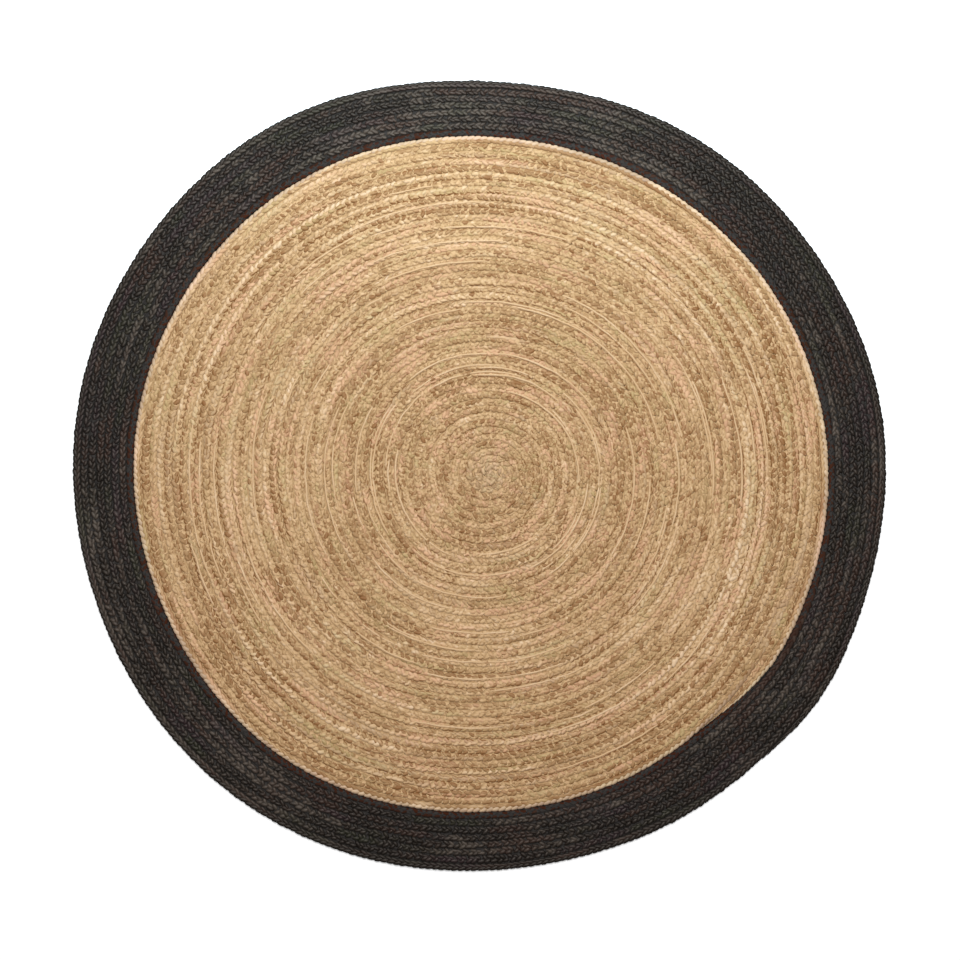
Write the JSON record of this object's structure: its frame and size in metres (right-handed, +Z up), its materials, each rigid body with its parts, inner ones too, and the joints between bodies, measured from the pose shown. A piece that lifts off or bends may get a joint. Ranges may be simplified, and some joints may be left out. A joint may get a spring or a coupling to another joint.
{
  "type": "round jute rug",
  "caption": "Flat round rug of plaited jute wound in a spiral, with a natural straw field and a broad black border. Lies on the floor.",
  "frame": {"origin": "middle of the outline, on the flat underside", "axes": "+Z up, out of the walked-on side; +X along the rug's longest extent, to the right as seen from above; +Y away from the viewer"},
  "size_m": [1.5146, 1.4722, 0.0095],
  "materials": {
    "natural_jute": "matt, straw-coloured plaited jute",
    "black_jute": "matt, black-dyed plaited jute"
  },
  "bodies": {
    "root": {"natural_field": "natural_jute", "black_border": "black_jute"}
  },
  "joints": []
}
